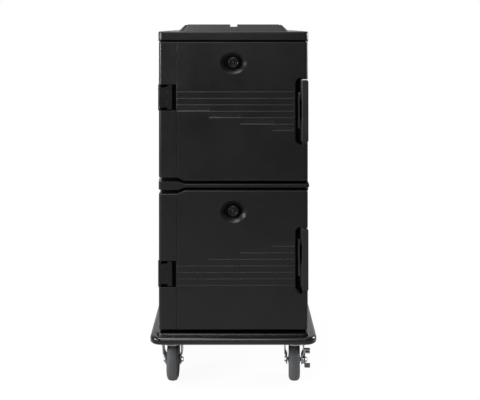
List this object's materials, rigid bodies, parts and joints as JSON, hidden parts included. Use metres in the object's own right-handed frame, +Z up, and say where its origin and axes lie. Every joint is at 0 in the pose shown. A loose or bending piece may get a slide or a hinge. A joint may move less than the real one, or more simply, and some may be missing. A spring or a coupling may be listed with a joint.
{
  "type": "insulated food cart",
  "caption": "Upright foam-filled black plastic food pan cart with stacked side-hinged doors, pull latches, door vents, a bumper base and swivel and rigid casters.",
  "frame": {"origin": "on the floor under the middle of the base", "axes": "+Z up, the doors face -Y, +X is the right-hand side seen from the front"},
  "size_m": [0.52, 0.69, 1.14],
  "materials": {
    "black_shell": "satin",
    "black_liner": "satin",
    "black_nylon": "satin",
    "foam": "matte",
    "seal_rubber": "matte",
    "tyre_rubber": "matte",
    "hub_plastic": "satin",
    "zinc_steel": "satin",
    "screw_steel": "satin"
  },
  "bodies": {
    "cart": {"base_moulding": "black_shell", "body_shell": "black_shell", "caster_bolts": "zinc_steel", "caster_races": "zinc_steel", "foam_core": "foam", "front_caster_plates": "zinc_steel", "hinge_body_screws": "screw_steel", "hinge_pins": "screw_steel", "kingpins": "zinc_steel", "latch_pins": "screw_steel", "latch_screws": "screw_steel", "lower_hinge_body_leaf": "black_nylon", "lower_latch_bracket": "black_nylon", "lower_liner": "black_liner", "lower_pan_rails": "black_liner", "rear_axles": "zinc_steel", "rear_left_fork": "zinc_steel", "rear_right_fork": "zinc_steel", "top_cover": "black_shell", "upper_hinge_body_leaf": "black_nylon", "upper_latch_bracket": "black_nylon", "upper_liner": "black_liner", "upper_pan_rails": "black_liner"},
    "upper_door": {"upper_door_foam": "foam", "upper_door_gasket": "seal_rubber", "upper_door_panel": "black_liner", "upper_door_shell": "black_shell", "upper_hinge_door_leaf": "black_nylon", "upper_hinge_door_screws": "screw_steel", "upper_latch_keeper": "black_nylon", "upper_vent_sleeve": "black_nylon"},
    "lower_door": {"lower_door_foam": "foam", "lower_door_gasket": "seal_rubber", "lower_door_panel": "black_liner", "lower_door_shell": "black_shell", "lower_hinge_door_leaf": "black_nylon", "lower_hinge_door_screws": "screw_steel", "lower_latch_keeper": "black_nylon", "lower_vent_sleeve": "black_nylon"},
    "upper_vent": {"upper_vent_cap": "black_nylon", "upper_vent_seal": "seal_rubber"},
    "lower_vent": {"lower_vent_cap": "black_nylon", "lower_vent_seal": "seal_rubber"},
    "upper_latch": {"upper_latch_lever": "black_nylon"},
    "lower_latch": {"lower_latch_lever": "black_nylon"},
    "front_left_caster": {"front_left_axle": "zinc_steel", "front_left_fork": "zinc_steel"},
    "front_right_caster": {"front_right_axle": "zinc_steel", "front_right_fork": "zinc_steel"},
    "front_left_wheel": {"front_left_hub": "hub_plastic", "front_left_tyre": "tyre_rubber"},
    "front_right_wheel": {"front_right_hub": "hub_plastic", "front_right_tyre": "tyre_rubber"},
    "rear_left_wheel": {"rear_left_hub": "hub_plastic", "rear_left_tyre": "tyre_rubber"},
    "rear_right_wheel": {"rear_right_hub": "hub_plastic", "rear_right_tyre": "tyre_rubber"},
    "brake": {"brake_lever": "zinc_steel"}
  },
  "joints": [
    {"name": "upper_door_swing", "type": "hinge", "parent": "cart", "child": "upper_door", "pos_m": [-0.229, -0.315, 0.912], "axis": [0, 0, -1], "range_deg": [0, 250]},
    {"name": "upper_latch_turn", "type": "hinge", "parent": "cart", "child": "upper_latch", "pos_m": [0.232, -0.24, 0.869], "axis": [0, 0, 1], "range_deg": [0, 100]},
    {"name": "upper_vent_pull", "type": "slide", "parent": "upper_door", "child": "upper_vent", "axis": [0, -1, 0], "range_m": [0, 0.01]},
    {"name": "lower_door_swing", "type": "hinge", "parent": "cart", "child": "lower_door", "pos_m": [-0.229, -0.315, 0.362], "axis": [0, 0, -1], "range_deg": [0, 250]},
    {"name": "lower_latch_turn", "type": "hinge", "parent": "cart", "child": "lower_latch", "pos_m": [0.232, -0.24, 0.405], "axis": [0, 0, 1], "range_deg": [0, 100]},
    {"name": "lower_vent_pull", "type": "slide", "parent": "lower_door", "child": "lower_vent", "axis": [0, -1, 0], "range_m": [0, 0.01]},
    {"name": "front_left_swivel", "type": "hinge", "parent": "cart", "child": "front_left_caster", "pos_m": [-0.193, -0.278, 0.14], "axis": [0, 0, 1], "continuous": true},
    {"name": "front_right_swivel", "type": "hinge", "parent": "cart", "child": "front_right_caster", "pos_m": [0.193, -0.278, 0.14], "axis": [0, 0, 1], "continuous": true},
    {"name": "front_left_roll", "type": "hinge", "parent": "front_left_caster", "child": "front_left_wheel", "pos_m": [-0.193, -0.245, 0.0635], "axis": [1, 0, 0], "continuous": true},
    {"name": "front_right_roll", "type": "hinge", "parent": "front_right_caster", "child": "front_right_wheel", "pos_m": [0.1953, -0.24508, 0.0635], "axis": [0.9976, -0.0698, 0], "continuous": true},
    {"name": "rear_left_roll", "type": "hinge", "parent": "cart", "child": "rear_left_wheel", "pos_m": [-0.193, 0.255, 0.0635], "axis": [1, 0, 0], "continuous": true},
    {"name": "rear_right_roll", "type": "hinge", "parent": "cart", "child": "rear_right_wheel", "pos_m": [0.193, 0.255, 0.0635], "axis": [1, 0, 0], "continuous": true},
    {"name": "brake_press", "type": "hinge", "parent": "front_right_caster", "child": "brake", "pos_m": [0.1953, -0.24508, 0.0635], "axis": [0.9976, -0.0698, 0], "range_deg": [0, 30]}
  ]
}
